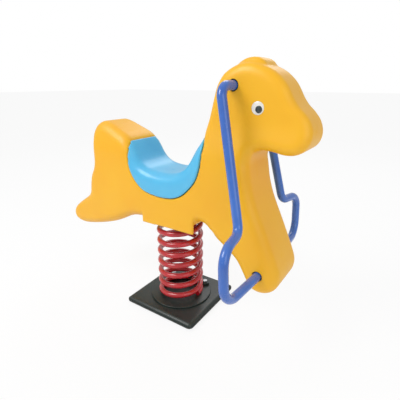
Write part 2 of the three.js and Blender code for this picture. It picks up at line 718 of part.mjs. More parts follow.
/** Middle line of one handle; side is 1 on the left and -1 on the right. */
function handlePath(side, overrun) {
  const place = ([x, y, z]) => [x, side * y, z];
  const start = place([HEAD_SOCKET[0], socketEnd(HEAD_SOCKET), HEAD_SOCKET[1]]);
  const end = place([LEG_SOCKET[0], socketEnd(LEG_SOCKET), LEG_SOCKET[1]]);
  const mouthReach = halfWidthAt(HEAD_SOCKET[1]) + MOUTH_STUB;
  const mouth = { at: [HEAD_SOCKET[0], mouthReach, HEAD_SOCKET[1]], bend: STUB_BEND };
  const foot = { at: [LEG_SOCKET[0], BODY_HALF_WIDTH + FOOT_STUB, LEG_SOCKET[1]], bend: STUB_BEND };
  const corners = [mouth, ...HANDLE_CORNERS, foot].map(({ at, bend }) => ({ at: place(at), bend }));
  return new BentPath(start, corners, end, overrun);
}

/** One bent pipe: hand grip above, foot rest below. */
function handle(side) {
  const outer = handlePath(side, 0);
  const inner = handlePath(side, CUT_MARGIN);
  const steps = outer.knots.length - 1;
  const bore = solidOf(bar(inner, PIPE_RADIUS - PIPE_WALL, steps, 8));
  let pipe = solidOf(bar(outer, PIPE_RADIUS, steps, 12)).subtract(bore);
  for (const socket of [HEAD_SOCKET, LEG_SOCKET]) {
    pipe = pipe.subtract(pinHole(socket, side));
  }
  return geometryOf(pipe);
}

/** Place of a cross pin: the pin runs fore and aft through a pipe's end. */
function pinPlace(socket, side) {
  return [socket[0], side * (socketEnd(socket) + PIN_FROM_END), socket[1]];
}

/** Hole for a cross pin. */
function pinHole(socket, side) {
  const cutter = rod(PIN_RADIUS + TOUCH_GAP, 2 * TUNNEL_RADIUS, 8);
  cutter.translate(0, 0, -TUNNEL_RADIUS);
  cutter.rotateY(Math.PI / 2);
  return solidOf(cutter).translate(...pinPlace(socket, side));
}

/** Cross pin through sleeve and pipe. */
function crossPin(socket, side) {
  const pin = rod(PIN_RADIUS, 2 * (SLEEVE_OUTER - TOUCH_GAP), 8);
  pin.translate(0, 0, TOUCH_GAP - SLEEVE_OUTER);
  pin.rotateY(Math.PI / 2);
  pin.translate(...pinPlace(socket, side));
  return pin;
}

/** Steel sleeve across the horse that joins the two pipes. */
function sleeve(socket) {
  const half = halfWidthAt(socket[1]) - BUSH_RECESS - BUSH_LENGTH - TOUCH_GAP;
  const bore = solidOf(crossRod(SLEEVE_INNER, half + CUT_MARGIN, socket));
  let tube = solidOf(crossRod(SLEEVE_OUTER, half, socket)).subtract(bore);
  for (const side of [1, -1]) tube = tube.subtract(pinHole(socket, side));
  return geometryOf(tube);
}

/** Rubber bush round a pipe where it enters the horse. */
function bush(socket, side) {
  const outer = solidOf(crossRod(TUNNEL_RADIUS - TOUCH_GAP, BUSH_LENGTH / 2, socket));
  const bore = solidOf(crossRod(PIPE_RADIUS + TOUCH_GAP, BUSH_LENGTH, socket));
  const middle = halfWidthAt(socket[1]) - BUSH_RECESS - BUSH_LENGTH / 2;
  return geometryOf(outer.subtract(bore).translate(0, side * middle, 0));
}

// ---- Eyes ------------------------------------------------------------------

/** Domed disc facing the given side, with an optional round seat in its face. */
function eyeDisc(radius, height, seatRadius, seatDepth, [x, z], depth, side) {
  const shoulder = height * (1 - DOME_HEIGHT);
  const profile = [[0, 0], [radius, 0], [radius, shoulder], [radius * DOME_ACROSS, height], [0, height]];
  let disc = solidOf(new THREE.LatheGeometry(profile.map(([r, y]) => new THREE.Vector2(r, y)), 24));
  if (seatRadius > 0) {
    const cutter = new THREE.CylinderGeometry(seatRadius, seatRadius, 2 * seatDepth, 20);
    cutter.translate(PUPIL_SHIFT[0], height, side * PUPIL_SHIFT[1]);
    disc = disc.subtract(solidOf(cutter));
  }
  const geometry = geometryOf(disc);
  if (side < 0) geometry.rotateX(Math.PI);
  geometry.translate(x, side * depth, z);
  return geometry;
}

/** White of the eye. */
function eyeWhite(side) {
  const depth = halfWidthAt(EYE_PLACE[1]) - EYE_SEAT_DEPTH + TOUCH_GAP;
  return eyeDisc(EYE_RADIUS, EYE_HEIGHT, PUPIL_RADIUS + TOUCH_GAP, PUPIL_SEAT_DEPTH, EYE_PLACE, depth, side);
}

/** Dark pupil set into the white. */
function eyePupil(side) {
  const white = halfWidthAt(EYE_PLACE[1]) - EYE_SEAT_DEPTH + TOUCH_GAP + EYE_HEIGHT;
  const place = [EYE_PLACE[0] + PUPIL_SHIFT[0], EYE_PLACE[1] + PUPIL_SHIFT[1]];
  return eyeDisc(PUPIL_RADIUS, PUPIL_HEIGHT, 0, 0, place, white - PUPIL_SEAT_DEPTH + TOUCH_GAP, side);
}

// ---- Assembly --------------------------------------------------------------

const FINISHES = {
  plateBlack: { color: 0x1d2422, roughness: 0.55, metalness: 0.1 },
  springRed: { color: 0xc4283a, roughness: 0.3, metalness: 0.05 },
  horseYellow: { color: 0xf4b51f, roughness: 0.45, metalness: 0 },
  seatBlue: { color: 0x4fbbe8, roughness: 0.4, metalness: 0 },
  pipeBlue: { color: 0x3d63c4, roughness: 0.3, metalness: 0.05 },
  zinc: { color: 0xb9bcc0, roughness: 0.4, metalness: 0.9 },
  rubber: { color: 0x241c20, roughness: 0.8, metalness: 0 },
  eyeWhite: { color: 0xf2f0ea, roughness: 0.25, metalness: 0 },
  eyeDark: { color: 0x20282a, roughness: 0.15, metalness: 0 },
};

/** Add one named piece to a group. */
function addPiece(group, name, geometry, finish) {
  const mesh = new THREE.Mesh(geometry, new THREE.MeshStandardMaterial(FINISHES[finish]));
  mesh.name = name;
  group.add(mesh);
}

/** Base, spring and the clamps that hold the spring's ends. */
function undercarriage() {
  const group = new THREE.Group();
  addPiece(group, 'base_plate', basePlate(), 'plateBlack');
  addPiece(group, 'foot_disc', footDisc(), 'plateBlack');
  const coil = bar(new SpringPath(), WIRE_RADIUS, Math.round(COIL_TURNS * COIL_STEPS), COIL_SIDES);
  addPiece(group, 'spring', coil, 'springRed');
  for (const [ring, upper] of [['lower', false], ['upper', true]]) {
    CLAMP_TURNS.forEach((turns, i) => {
      addPiece(group, `${ring}_clamp_${i + 1}`, clamp(turns, upper), 'plateBlack');
      addPiece(group, `${ring}_clamp_bolt_${i + 1}`, clampBolt(turns, upper), 'zinc');
    });
  }
  addPiece(group, 'top_plate', topPlate(), 'plateBlack');
  return group;
}

/** The horse with its seat, handles, eyes and fixings. */
function horse() {
  const group = new THREE.Group();
  addPiece(group, 'body_shell', bodyShell(), 'horseYellow');
  addPiece(group, 'seat', seat(), 'seatBlue');
  addPiece(group, 'backing_plate', backingPlate(), 'zinc');
  bodyBoltPlaces().forEach((place, i) => {
    addPiece(group, `body_bolt_${i + 1}`, bodyBolt(place), 'zinc');
    addPiece(group, `body_nut_${i + 1}`, bodyNut(place), 'zinc');
  });
  seatBoltPlaces().forEach((place, i) => addPiece(group, `seat_bolt_${i + 1}`, seatBolt(place), 'zinc'));
  addPiece(group, 'head_sleeve', sleeve(HEAD_SOCKET), 'zinc');
  addPiece(group, 'leg_sleeve', sleeve(LEG_SOCKET), 'zinc');
  for (const [sideName, side] of [['left', 1], ['right', -1]]) {
    addPiece(group, `handle_${sideName}`, handle(side), 'pipeBlue');
    addPiece(group, `eye_white_${sideName}`, eyeWhite(side), 'eyeWhite');
    addPiece(group, `eye_pupil_${sideName}`, eyePupil(side), 'eyeDark');
    for (const [place, socket] of [['head', HEAD_SOCKET], ['leg', LEG_SOCKET]]) {
      addPiece(group, `${place}_bush_${sideName}`, bush(socket, side), 'rubber');
      addPiece(group, `${place}_pin_${sideName}`, crossPin(socket, side), 'zinc');
    }
  }
  group.position.z = RIDER_BASE;
  return group;
}

const springRider = new THREE.Group();
springRider.add(undercarriage());
springRider.add(horse());

export default springRider;
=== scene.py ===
"""Looks of a horse-shaped spring rider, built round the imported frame.

Metres, in the frame's own axes: +X is the way the horse looks, +Y its left side, +Z up.
"""

import json
import logging
import math
from collections.abc import Callable
from dataclasses import dataclass, field
from enum import Enum

import bpy
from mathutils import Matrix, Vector
from mathutils.kdtree import KDTree


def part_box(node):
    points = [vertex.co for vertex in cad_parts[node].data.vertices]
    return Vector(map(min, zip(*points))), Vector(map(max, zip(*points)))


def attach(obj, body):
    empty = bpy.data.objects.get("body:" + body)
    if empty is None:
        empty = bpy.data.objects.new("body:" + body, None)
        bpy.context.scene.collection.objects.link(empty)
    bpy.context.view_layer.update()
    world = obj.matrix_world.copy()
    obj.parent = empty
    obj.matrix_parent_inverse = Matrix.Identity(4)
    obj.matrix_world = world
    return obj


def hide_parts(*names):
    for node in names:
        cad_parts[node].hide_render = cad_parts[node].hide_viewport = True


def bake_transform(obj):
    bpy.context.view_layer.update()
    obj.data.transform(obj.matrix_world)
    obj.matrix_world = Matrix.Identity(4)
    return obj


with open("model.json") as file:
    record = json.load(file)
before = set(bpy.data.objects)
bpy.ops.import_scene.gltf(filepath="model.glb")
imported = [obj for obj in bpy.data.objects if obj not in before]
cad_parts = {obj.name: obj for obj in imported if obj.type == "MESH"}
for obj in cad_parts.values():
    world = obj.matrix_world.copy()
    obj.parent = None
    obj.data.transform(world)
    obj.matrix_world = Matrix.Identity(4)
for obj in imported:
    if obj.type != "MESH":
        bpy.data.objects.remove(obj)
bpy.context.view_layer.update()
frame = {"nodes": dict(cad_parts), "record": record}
LOG = logging.getLogger("spring_rider")

MM = 0.001
Pair = tuple[float, float]
Place = tuple[float, float, float]
Colour = tuple[float, float, float]

TOP_PLATE_LOW, TOP_PLATE_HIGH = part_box("top_plate")
RIDER_BASE = TOP_PLATE_HIGH[2]          # outline heights count from the top plate's upper face
BODY_LOW, BODY_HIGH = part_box("body_shell")
HALF_WIDTH = BODY_HIGH[1]


class Side(Enum):
    """The horse's two sides, as the sign of Y."""

    LEFT = 1
    RIGHT = -1

    @property
    def label(self) -> str:
        """The side's word in a piece's name."""
        return self.name.lower()


# ---- Finishes ---------------------------------------------------------------


@dataclass(frozen=True)
class Finish:
    """One surface finish.

    A paint or plastic has a main colour, a shade that drifts through it, and a fine grain.
    """

    name: str
    slot: str
    colour: Colour
    shade: Colour
    roughness: float
    rough_swing: float = 0.12
    metallic: float = 0.0
    coat: float = 0.0
    coat_roughness: float = 0.1
    cloud_scale: float = 9.0
    cloud_amount: float = 0.6
    grain_scale: float = 420.0
    grain_depth: float = 0.06
    dust: float = 0.1
    dust_colour: Colour = (0.6, 0.56, 0.48)
    subsurface: float = 0.0


YELLOW_SHELL = Finish(
    "yellow_moulding", "yellow_shell", (0.93, 0.49, 0.008), (0.9, 0.42, 0.005), 0.42,
    coat=0.1, coat_roughness=0.22, cloud_scale=5.0, grain_scale=520.0, dust=0.05, subsurface=0.04,
)
BLUE_SEAT = Finish(
    "blue_moulding", "blue_seat", (0.1, 0.53, 0.84), (0.06, 0.42, 0.74), 0.32,
    coat=0.3, coat_roughness=0.2, cloud_scale=8.0, grain_scale=520.0, dust=0.04, subsurface=0.03,
)
BLUE_PIPE = Finish(
    "blue_pipe_enamel", "blue_pipe", (0.04, 0.16, 0.58), (0.025, 0.09, 0.4), 0.24,
    coat=0.6, coat_roughness=0.08, cloud_scale=14.0, grain_scale=260.0, grain_depth=0.08, dust=0.05,
)
RED_PAINT = Finish(
    "red_spring_enamel", "red_paint", (0.56, 0.008, 0.018), (0.32, 0.004, 0.01), 0.22,
    coat=0.7, coat_roughness=0.08, cloud_scale=18.0, grain_scale=240.0, grain_depth=0.09, dust=0.06,
)
BLACK_PAINT = Finish(
    "black_base_paint", "black_paint", (0.006, 0.014, 0.012), (0.012, 0.024, 0.02), 0.42,
    coat=0.2, coat_roughness=0.25, cloud_scale=16.0, grain_scale=300.0, grain_depth=0.12, dust=0.06,
    dust_colour=(0.16, 0.17, 0.16),
)
ZINC = Finish(
    "zinc_plating", "zinc_steel", (0.58, 0.59, 0.6), (0.42, 0.43, 0.45), 0.34,
    metallic=0.95, cloud_scale=60.0, grain_scale=700.0, grain_depth=0.05,
)
# Bush rubber: its dark maroon is partly the rubber's own colour and partly painted shade, standing in for the
# shadow inside the pipe sockets.
BUSH_RUBBER_AND_SHADE = Finish(
    "bush_rubber_and_painted_shade", "dark_rubber", (0.03, 0.016, 0.02), (0.018, 0.01, 0.012), 0.68,
    cloud_scale=40.0, grain_scale=600.0, grain_depth=0.1,
)
EYE_WHITE = Finish(
    "eye_white_gloss", "eye_white", (0.86, 0.85, 0.8), (0.74, 0.68, 0.58), 0.2,
    coat=0.6, cloud_scale=60.0, cloud_amount=0.4, grain_depth=0.02,
)
EYE_DARK = Finish(
    "eye_dark_gloss", "eye_dark", (0.012, 0.02, 0.022), (0.04, 0.07, 0.075), 0.12,
    coat=0.9, cloud_scale=90.0, cloud_amount=0.5, grain_depth=0.02,
)
FINISHES = (YELLOW_SHELL, BLUE_SEAT, BLUE_PIPE, RED_PAINT, BLACK_PAINT, ZINC, BUSH_RUBBER_AND_SHADE, EYE_WHITE, EYE_DARK)


class FinishShop:
    """Makes each finish's material once, from two shared node groups."""

    def __init__(self) -> None:
        """Build the shared groups."""
        self.clouds = self._cloud_group()
        self.dusting = self._dust_group()
        self.made: dict[str, bpy.types.Material] = {}

    @staticmethod
    def _group(name: str, inputs: dict[str, float], outputs: tuple[str, ...]) -> bpy.types.NodeTree:
        """Start a shader group.

        Args:
            name: The group's name.
            inputs: Float inputs with their defaults.
            outputs: Names of the float outputs.

        Returns:
            The group with its two end nodes, named "in" and "out".
        """
        group = bpy.data.node_groups.new(name, "ShaderNodeTree")
        for label, value in inputs.items():
            socket = group.interface.new_socket(label, in_out="INPUT", socket_type="NodeSocketFloat")
            socket.default_value = value
        for label in outputs:
            group.interface.new_socket(label, in_out="OUTPUT", socket_type="NodeSocketFloat")
        group.nodes.new("NodeGroupInput").name = "in"
        group.nodes.new("NodeGroupOutput").name = "out"
        return group

    def _cloud_group(self) -> bpy.types.NodeTree:
        """Slow colour drift, fine grain and a few scuffs, on object coordinates."""
        sizes = {"Cloud Scale": 9.0, "Grain Scale": 400.0, "Scuff Scale": 30.0}
        group = self._group("moulded_surface", sizes, ("Cloud", "Grain", "Scuff"))
        nodes, links = group.nodes, group.links
        place = nodes.new("ShaderNodeTexCoord")
        layers = (("Cloud", 3.0, 0.35, 0.68), ("Grain", 2.0, 0.2, 0.8), ("Scuff", 6.0, 0.6, 0.74))
        for label, detail, low, high in layers:
            noise = nodes.new("ShaderNodeTexNoise")
            noise.inputs["Detail"].default_value = detail
            links.new(place.outputs["Object"], noise.inputs["Vector"])
            links.new(nodes["in"].outputs[f"{label} Scale"], noise.inputs["Scale"])
            spread = nodes.new("ShaderNodeMapRange")
            spread.inputs["From Min"].default_value = low
            spread.inputs["From Max"].default_value = high
            links.new(noise.outputs["Fac"], spread.inputs["Value"])
            links.new(spread.outputs["Result"], nodes["out"].inputs[label])
        return group

    def _dust_group(self) -> bpy.types.NodeTree:
        """Thin dust that settles on what faces up."""
        group = self._group("settled_dust", {"Amount": 0.1}, ("Dust",))
        nodes, links = group.nodes, group.links
        normal = nodes.new("ShaderNodeNewGeometry")
        split = nodes.new("ShaderNodeSeparateXYZ")
        links.new(normal.outputs["Normal"], split.inputs["Vector"])
        facing = nodes.new("ShaderNodeMapRange")
        facing.inputs["From Min"].default_value = 0.55
        facing.inputs["From Max"].default_value = 1.0
        links.new(split.outputs["Z"], facing.inputs["Value"])
        amount = nodes.new("ShaderNodeMath")
        amount.operation = "MULTIPLY"
        links.new(facing.outputs["Result"], amount.inputs[0])
        links.new(nodes["in"].outputs["Amount"], amount.inputs[1])
        links.new(amount.outputs["Value"], nodes["out"].inputs["Dust"])
        return group

    def material(self, finish: Finish) -> bpy.types.Material:
        """Return the finish's material, made on first use."""
        if finish.name not in self.made:
            self.made[finish.name] = self._build(finish)
        return self.made[finish.name]

    def _build(self, finish: Finish) -> bpy.types.Material:
        """Build one finish.

        Args:
            finish: The finish's colours and constants.

        Returns:
            The new material.
        """
        material = bpy.data.materials.new(finish.name)
        material.use_nodes = True
        nodes, links = material.node_tree.nodes, material.node_tree.links
        shader = nodes["Principled BSDF"]
        shader.inputs["Metallic"].default_value = finish.metallic
        shader.inputs["Coat Weight"].default_value = finish.coat
        shader.inputs["Coat Roughness"].default_value = finish.coat_roughness
        shader.inputs["Subsurface Weight"].default_value = finish.subsurface
        shader.inputs["Subsurface Scale"].default_value = 4 * MM
        surface = nodes.new("ShaderNodeGroup")
        surface.node_tree = self.clouds
        surface.inputs["Cloud Scale"].default_value = finish.cloud_scale
        surface.inputs["Grain Scale"].default_value = finish.grain_scale
        dust = nodes.new("ShaderNodeGroup")
        dust.node_tree = self.dusting
        dust.inputs["Amount"].default_value = finish.dust
        drift = self._mix(material.node_tree, surface.outputs["Cloud"], finish)
        tint = nodes.new("ShaderNodeMix")
        tint.data_type = "RGBA"
        tint.inputs["B"].default_value = (*finish.dust_colour, 1)
        links.new(dust.outputs["Dust"], tint.inputs["Factor"])
        links.new(drift, tint.inputs["A"])
        links.new(tint.outputs["Result"], shader.inputs["Base Color"])
        rough = nodes.new("ShaderNodeMapRange")
        rough.inputs["To Min"].default_value = finish.roughness
        rough.inputs["To Max"].default_value = finish.roughness + finish.rough_swing
        links.new(surface.outputs["Scuff"], rough.inputs["Value"])
        links.new(rough.outputs["Result"], shader.inputs["Roughness"])
        bump = nodes.new("ShaderNodeBump")
        bump.inputs["Strength"].default_value = finish.grain_depth
        bump.inputs["Distance"].default_value = 0.4 * MM
        links.new(surface.outputs["Grain"], bump.inputs["Height"])
        links.new(bump.outputs["Normal"], shader.inputs["Normal"])
        return material

    @staticmethod
    def _mix(tree: bpy.types.NodeTree, mask: bpy.types.NodeSocket, finish: Finish) -> bpy.types.NodeSocket:
        """Let a finish's shade drift through its main colour.

        Args:
            tree: The material's nodes.
            mask: Socket that says where the shade lies.
            finish: The finish's colours and the shade's largest share.

        Returns:
            Socket of the blended colour.
        """
        limit = tree.nodes.new("ShaderNodeMath")
        limit.operation = "MULTIPLY"
        limit.inputs[1].default_value = finish.cloud_amount
        tree.links.new(mask, limit.inputs[0])
        mix = tree.nodes.new("ShaderNodeMix")
        mix.data_type = "RGBA"
        mix.inputs["A"].default_value = (*finish.colour, 1)
        mix.inputs["B"].default_value = (*finish.shade, 1)
        tree.links.new(limit.outputs["Value"], mix.inputs["Factor"])
        return mix.outputs["Result"]


SHOP = FinishShop()


# ---- Bench tools ------------------------------------------------------------


def take(piece: bpy.types.Object) -> None:
    """Deselect everything, then select one object and make it active."""
    bpy.ops.object.select_all(action="DESELECT")
    piece.select_set(True)
    bpy.context.view_layer.objects.active = piece


def fresh(name: str) -> bpy.types.Object:
    """Name the object that a primitive operator has just added, and settle its place into its mesh."""
    piece = bpy.context.object
    piece.name = name
    piece.data.name = name
    take(piece)
    bpy.ops.object.transform_apply(location=True, rotation=True, scale=True)
    return piece


def modify(piece: bpy.types.Object, kind: str, **settings: object) -> None:
    """Add a modifier with the given settings and apply it."""
    modifier = piece.modifiers.new(kind.title(), kind)
    for key, value in settings.items():
        setattr(modifier, key, value)
    take(piece)
    bpy.ops.object.modifier_apply(modifier=modifier.name)


def combine(piece: bpy.types.Object, tool: bpy.types.Object, operation: str) -> None:
    """Join, cut or intersect a closed piece with a closed tool, which is used up."""
    modify(piece, "BOOLEAN", object=tool, operation=operation, solver="MANIFOLD")
    bpy.data.objects.remove(tool)


def copy_of(piece: bpy.types.Object, name: str) -> bpy.types.Object:
    """Copy an object together with its mesh."""
    twin = piece.copy()
    twin.data = piece.data.copy()
    twin.name = name
    bpy.context.collection.objects.link(twin)
    return twin


def remesh(piece: bpy.types.Object, voxel: float, rounds: int) -> None:
    """Give a piece an even skin and soften its edges.

    Args:
        piece: A closed mesh.
        voxel: Edge length of the new skin.
        rounds: How many times the skin is smoothed.
    """
    modify(piece, "REMESH", mode="VOXEL", voxel_size=voxel, use_smooth_shade=True)
    if rounds:
        modify(piece, "SMOOTH", factor=0.5, iterations=rounds)


def smooth_by_angle(piece: bpy.types.Object, degrees: float = 35.0) -> None:
    """Shade a piece smooth except over sharp edges."""
    take(piece)
    bpy.ops.object.shade_smooth_by_angle(angle=math.radians(degrees))


def spline(pairs: list[Pair], steps: int = 4) -> list[Pair]:
    """Points along a smooth curve through the given points, without the last one.

    Args:
        pairs: Knots of the curve.
        steps: Points for each span.

    Returns:
        The points in order.
    """
    knots = [Vector(pair) for pair in pairs]
    last = len(knots) - 1
    points = []
    for i in range(last):
        before, start, end, after = (knots[min(max(i + k, 0), last)] for k in (-1, 0, 1, 2))
        leave, arrive = (end - before) / 2, (after - start) / 2
        for step in range(steps):
            t = step / steps
            cubic = (2 * start - 2 * end + leave + arrive) * t**3
            square = (3 * end - 3 * start - 2 * leave - arrive) * t**2
            points.append(tuple(cubic + square + leave * t + start))
    return points


def slab(name: str, outline: list[Pair], half_width: float) -> bpy.types.Object:
    """Extrude an upright outline across the horse.

    Args:
        name: The piece's name.
        outline: Points in millimetres, heights from the top plate.
        half_width: Half of the slab's width, in metres.

    Returns:
        The closed slab.
    """
    bpy.ops.object.select_all(action="DESELECT")
    bpy.ops.mesh.primitive_circle_add(vertices=len(outline), fill_type="NGON")
    piece = fresh(name)
    for vertex, (x, z) in zip(piece.data.vertices, outline):
        vertex.co = (x * MM, -half_width, RIDER_BASE + z * MM)
    bpy.ops.object.mode_set(mode="EDIT")
    bpy.ops.mesh.select_all(action="SELECT")
    bpy.ops.mesh.extrude_region_move(TRANSFORM_OT_translate={"value": (0, 2 * half_width, 0)})
    bpy.ops.mesh.select_all(action="SELECT")
    bpy.ops.mesh.normals_make_consistent(inside=False)
    bpy.ops.object.mode_set(mode="OBJECT")
    return piece


def cross_rod(name: str, radius: float, half_length: float, place: Pair, middle: float = 0.0) -> bpy.types.Object:
    """Add a rod across the horse.

    Args:
        name: The rod's name.
        radius: Its radius, in metres.
        half_length: Half of its length, in metres.
        place: Its X and its height above the top plate, in millimetres.
        middle: Y of its middle, in metres.

    Returns:
        The rod.
    """
    x, z = place
    bpy.ops.object.select_all(action="DESELECT")
    bpy.ops.mesh.primitive_cylinder_add(
        vertices=64, radius=radius, depth=2 * half_length,
        location=(x * MM, middle, RIDER_BASE + z * MM), rotation=(math.pi / 2, 0, 0),
    )
    return fresh(name)


def pipe(name: str, points: list[Vector], radius: float, sides: int) -> bpy.types.Object:
    """Round bar along points, with closed ends.

    Args:
        name: The piece's name.
        points: Middle line, in metres.
        radius: The bar's radius.
        sides: Sides of its section.

    Returns:
        The bar as a smooth mesh.
    """
    curve = bpy.data.curves.new(name, "CURVE")
    curve.dimensions = "3D"
    curve.bevel_depth = radius
    curve.bevel_resolution = sides // 4 - 1
    curve.use_fill_caps = True
    line = curve.splines.new("POLY")
    line.points.add(len(points) - 1)
    for knot, point in zip(line.points, points):
        knot.co = (*point, 1)
    piece = bpy.data.objects.new(name, curve)
    bpy.context.collection.objects.link(piece)
    take(piece)
    bpy.ops.object.convert(target="MESH")
    piece = bpy.context.object
    bpy.ops.object.mode_set(mode="EDIT")
    bpy.ops.mesh.select_all(action="SELECT")
    bpy.ops.mesh.remove_doubles(threshold=0.01 * MM)
    bpy.ops.mesh.normals_make_consistent(inside=False)
    bpy.ops.object.mode_set(mode="OBJECT")
    smooth_by_angle(piece, 50)
    return piece


def deliver(piece: bpy.types.Object, finish: Finish, body: str, *nodes: str) -> None:
    """Dress a finished piece, hang it on its body and hide the nodes it stands for."""
    piece.data.materials.clear()
    piece.data.materials.append(SHOP.material(finish))
    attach(piece, body)
    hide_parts(*nodes)
    LOG.info("%s: %d faces on %s", piece.name, len(piece.data.polygons), body)


# ---- Horse ------------------------------------------------------------------

HUMP = [(-330, 287), (-300, 302), (-266, 297), (-232, 284), (-205, 273), (-183, 264)]
SADDLE_TOP = [
    (-183, 264), (-166, 252), (-151, 232), (-138, 208), (-124, 186), (-106, 168), (-82, 156), (-45, 149),
    (0, 149), (45, 156), (78, 174), (100, 200), (113, 224), (124, 245), (142, 272),
]
NECK_BACK = [(142, 272), (145, 300), (153, 330), (162, 365), (170, 397), (179, 427), (197, 456)]
HEAD_TOP = [(197, 456), (222, 472), (255, 484), (290, 484), (330, 471), (358, 453), (380, 430), (398, 399)]
MUZZLE = [
    (398, 399), (412, 380), (430, 363), (446, 344), (456, 320), (456, 295), (444, 270), (420, 256),
    (390, 254), (355, 260), (322, 260), (303, 248), (296, 222),
]
NECK_FRONT = [
    (296, 222), (300, 200), (308, 155), (321, 112), (338, 72), (357, 32), (375, -8), (393, -48), (409, -88),
]
FRONT_HOOF = [(409, -88), (413, -112), (406, -142), (386, -164), (356, -173), (326, -166), (308, -143)]
CHEST = [(308, -143), (291, -112), (271, -82), (233, -52), (206, -34), (184, -14), (162, 6), (140, 12)]
BELLY = [(140, 12), (128, 4), (118, -10), (104, -16), (0, -17), (-80, -20), (-126, -27)]
REAR_HOOF = [
    (-126, -27), (-152, -31), (-184, -43), (-222, -63), (-264, -82), (-316, -100), (-366, -114),
    (-418, -126), (-460, -130), (-492, -121), (-508, -97), (-502, -68), (-478, -46), (-432, -16),
]
RUMP = [
    (-432, -16), (-404, 4), (-388, 26), (-381, 62), (-371, 96), (-355, 124), (-347, 150), (-345, 190),
    (-345, 225), (-343, 260), (-330, 287),
]
FORELOCK = [
    (222, 455), (232, 477), (252, 492), (278, 498), (302, 494), (318, 478), (316, 458), (296, 442),
    (262, 436), (234, 440), (222, 455),
]
CHEEK = [(-97, 40), (-97, -37), (123, -33), (123, 40)]
SEAT_EDGE = [
    (142, 272), (150, 262), (150, 234), (149, 207), (142, 179), (129, 148), (104, 117), (75, 92), (39, 77),
    (-2, 73), (-44, 75), (-83, 84), (-115, 107), (-137, 138), (-147, 168), (-152, 206), (-156, 236), (-165, 262),
]
SEAT_ROOF = [(-167, 270), (142, 280)]
HEAD_SOCKET: Pair = (238, 427)
LEG_SOCKET: Pair = (353, -105)


